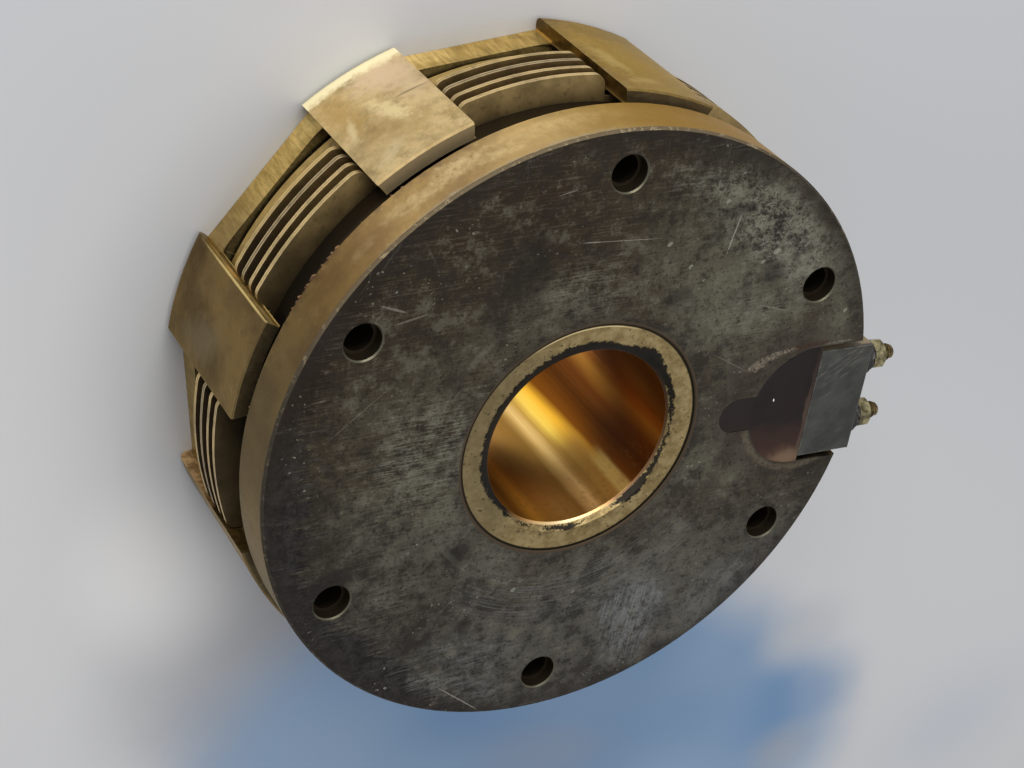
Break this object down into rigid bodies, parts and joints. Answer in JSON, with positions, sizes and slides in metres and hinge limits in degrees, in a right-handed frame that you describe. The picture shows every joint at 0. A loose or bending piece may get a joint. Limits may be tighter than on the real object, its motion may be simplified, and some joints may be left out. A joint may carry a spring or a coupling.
{
  "type": "electromagnetic brake",
  "caption": "Electromagnetic multi-disc brake: flanged magnet body with a long bronze bush and a terminal block, a pack of thin discs and a clawed outer driver.",
  "frame": {"origin": "on the bore axis, in the plane of the driver's flat back", "axes": "+Z along the bore, out of the mounting face; +X from the bore towards the terminal block"},
  "size_m": [0.2008, 0.1872, 0.072],
  "materials": {
    "face_steel": "dull dark steel, scratched",
    "bronzed_steel": "worn steel under brown oil varnish",
    "disc_steel": "thin ground steel",
    "hub_steel": "ground steel",
    "bronze": "oily bronze",
    "phenolic": "grey-green moulded laminate",
    "resin": "dark red-brown casting resin",
    "bobbin": "moulded, natural",
    "copper": "enamelled copper wire",
    "zinc_steel": "yellow zinc plated",
    "black_washer": "black fibre"
  },
  "bodies": {
    "magnet": {"bush": "bronze", "coil_bobbin": "bobbin", "coil_lead_left": "copper", "coil_lead_right": "copper", "coil_seal": "resin", "coil_winding": "copper", "flat_washer_left": "zinc_steel", "flat_washer_right": "zinc_steel", "insulating_washer_left": "black_washer", "insulating_washer_right": "black_washer", "magnet_body": "face_steel", "retaining_ring": "hub_steel", "splined_hub": "hub_steel", "spring_washer_left": "zinc_steel", "spring_washer_right": "zinc_steel", "stop_washer": "hub_steel", "terminal_block": "phenolic", "terminal_nut_left": "zinc_steel", "terminal_nut_right": "zinc_steel", "terminal_potting": "resin", "terminal_stud_left": "zinc_steel", "terminal_stud_right": "zinc_steel"},
    "driver": {"driver": "bronzed_steel"},
    "armature": {"armature": "disc_steel"},
    "outer_disc_1": {"outer_disc_1": "disc_steel"},
    "inner_disc_1": {"inner_disc_1": "disc_steel"},
    "outer_disc_2": {"outer_disc_2": "disc_steel"},
    "inner_disc_2": {"inner_disc_2": "disc_steel"},
    "outer_disc_3": {"outer_disc_3": "disc_steel"},
    "inner_disc_3": {"inner_disc_3": "disc_steel"},
    "outer_disc_4": {"outer_disc_4": "disc_steel"}
  },
  "joints": [
    {"name": "driver_spin", "type": "hinge", "parent": "magnet", "child": "driver", "pos_m": [0, 0, 0], "axis": [0, 0, 1], "continuous": true},
    {"name": "armature_slide", "type": "slide", "parent": "magnet", "child": "armature", "axis": [0, 0, 1], "range_m": [0, 0.00356]},
    {"name": "outer_disc_1_slide", "type": "slide", "parent": "driver", "child": "outer_disc_1", "axis": [0, 0, 1], "range_m": [0, 0.000421]},
    {"name": "inner_disc_1_slide", "type": "slide", "parent": "magnet", "child": "inner_disc_1", "axis": [0, 0, 1], "range_m": [0, 0.00109]},
    {"name": "outer_disc_2_slide", "type": "slide", "parent": "driver", "child": "outer_disc_2", "axis": [0, 0, 1], "range_m": [0, 0.00116]},
    {"name": "inner_disc_2_slide", "type": "slide", "parent": "magnet", "child": "inner_disc_2", "axis": [0, 0, 1], "range_m": [0, 0.00233]},
    {"name": "outer_disc_3_slide", "type": "slide", "parent": "driver", "child": "outer_disc_3", "axis": [0, 0, 1], "range_m": [0, 0.0024]},
    {"name": "inner_disc_3_slide", "type": "slide", "parent": "magnet", "child": "inner_disc_3", "axis": [0, 0, 1], "range_m": [0, 0.00347]},
    {"name": "outer_disc_4_slide", "type": "slide", "parent": "driver", "child": "outer_disc_4", "axis": [0, 0, 1], "range_m": [0, 0.00354]}
  ],
  "couplings": [
    {"joint": "outer_disc_1_slide", "follows": "armature_slide", "ratio": 0.11798},
    {"joint": "inner_disc_1_slide", "follows": "armature_slide", "ratio": 0.30618},
    {"joint": "outer_disc_2_slide", "follows": "armature_slide", "ratio": 0.32584},
    {"joint": "inner_disc_2_slide", "follows": "armature_slide", "ratio": 0.65449},
    {"joint": "outer_disc_3_slide", "follows": "armature_slide", "ratio": 0.67416},
    {"joint": "inner_disc_3_slide", "follows": "armature_slide", "ratio": 0.97472},
    {"joint": "outer_disc_4_slide", "follows": "armature_slide", "ratio": 0.99438}
  ]
}
